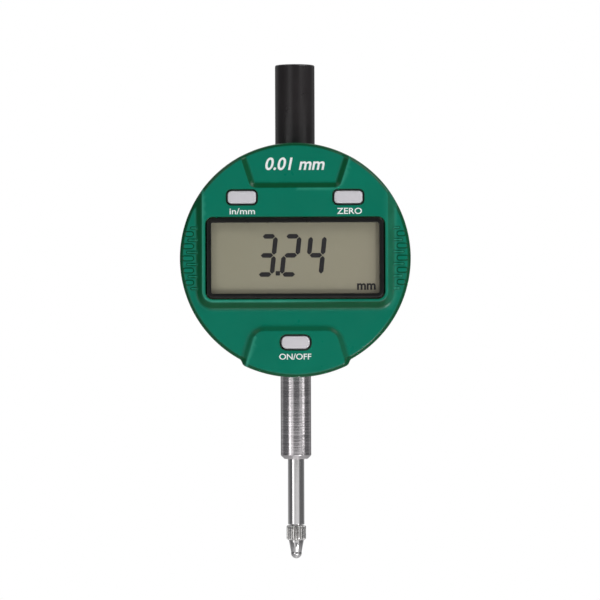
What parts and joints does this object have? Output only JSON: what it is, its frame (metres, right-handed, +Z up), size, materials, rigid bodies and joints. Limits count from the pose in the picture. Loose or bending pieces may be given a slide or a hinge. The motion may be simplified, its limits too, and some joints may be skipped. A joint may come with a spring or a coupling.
{
  "type": "digital dial indicator",
  "caption": "Round digital dial indicator with a sprung plunger below a plain stem, a segment display with keys, and a lug on its back.",
  "frame": {"origin": "middle of the stem's clamping length, on the plunger's axis", "axes": "+Z up along the plunger towards the cap, -Y out of the display towards the reader, +X to the reader's right"},
  "size_m": [0.06, 0.0377, 0.1298],
  "materials": {
    "green_plastic": "satin moulded",
    "aluminium": "satin, die cast",
    "steel": "fine turned",
    "hard_steel": "ground and polished",
    "board": "solder mask",
    "black_plastic": "matte moulded",
    "clear": "polished",
    "display": "satin polariser",
    "rubber": "matte",
    "grey_key": "fine matte moulded",
    "zinc": "die cast zinc",
    "brass": "turned",
    "black_gloss": "anodised black, semi-gloss"
  },
  "bodies": {
    "case": {"front_cover": "green_plastic", "rear_case": "green_plastic", "lug_back": "aluminium", "case_screw_1": "steel", "case_screw_2": "steel", "case_screw_3": "steel", "case_screw_4": "steel", "board_screw_1": "steel", "board_screw_2": "steel", "board_screw_3": "steel", "board_screw_4": "steel", "frame_screw_1": "steel", "frame_screw_2": "steel", "frame_screw_3": "steel", "frame_screw_4": "steel", "switch_units": "steel", "switch_zero": "steel", "switch_power": "steel", "stem": "steel", "stem_set_screw": "steel", "guide_rod": "steel", "tension_spring": "steel", "battery": "steel", "battery_contact_negative": "steel", "battery_contact_positive": "steel", "main_board": "board", "controller_chip": "black_plastic", "display_bezel": "black_plastic", "lcd_holder": "black_plastic", "battery_holder": "black_plastic", "data_connector": "black_plastic", "display_lens": "clear", "lcd_panel": "display", "contact_strip_top": "rubber", "contact_strip_bottom": "rubber", "bumper_ring": "rubber", "inner_frame": "zinc", "stem_bush_lower": "brass", "stem_bush_upper": "brass", "top_bush": "brass", "spindle_cap": "black_gloss"},
    "plunger": {"spindle": "hard_steel", "carriage": "brass", "carriage_screw": "steel", "encoder_scale": "board", "contact_point": "steel", "contact_ball": "hard_steel"},
    "key_units": {"button_units": "grey_key"},
    "key_zero": {"button_zero": "grey_key"},
    "key_power": {"button_power": "grey_key"},
    "battery_door": {"battery_cover": "black_plastic"},
    "port_flap": {"port_cover": "rubber"}
  },
  "joints": [
    {"name": "plunger_travel", "type": "slide", "parent": "case", "child": "plunger", "axis": [0, 0, 1], "range_m": [0, 0.0127], "stiffness_N_per_m": 40, "springref_m": -0.02, "deforming": ["tension_spring"]},
    {"name": "units_press", "type": "slide", "parent": "case", "child": "key_units", "axis": [0, 1, 0], "range_m": [0, 0.0006], "stiffness_N_per_m": 1000, "springref_m": -0.0005},
    {"name": "zero_press", "type": "slide", "parent": "case", "child": "key_zero", "axis": [0, 1, 0], "range_m": [0, 0.0006], "stiffness_N_per_m": 1000, "springref_m": -0.0005},
    {"name": "power_press", "type": "slide", "parent": "case", "child": "key_power", "axis": [0, 1, 0], "range_m": [0, 0.0006], "stiffness_N_per_m": 1000, "springref_m": -0.0005},
    {"name": "battery_door_turn", "type": "hinge", "parent": "case", "child": "battery_door", "pos_m": [-0.0166, 0.008, 0.0415], "axis": [0, 1, 0], "range_deg": [0, 90]},
    {"name": "port_flap_pull", "type": "slide", "parent": "case", "child": "port_flap", "axis": [1, 0, 0], "range_m": [0, 0.005]}
  ]
}
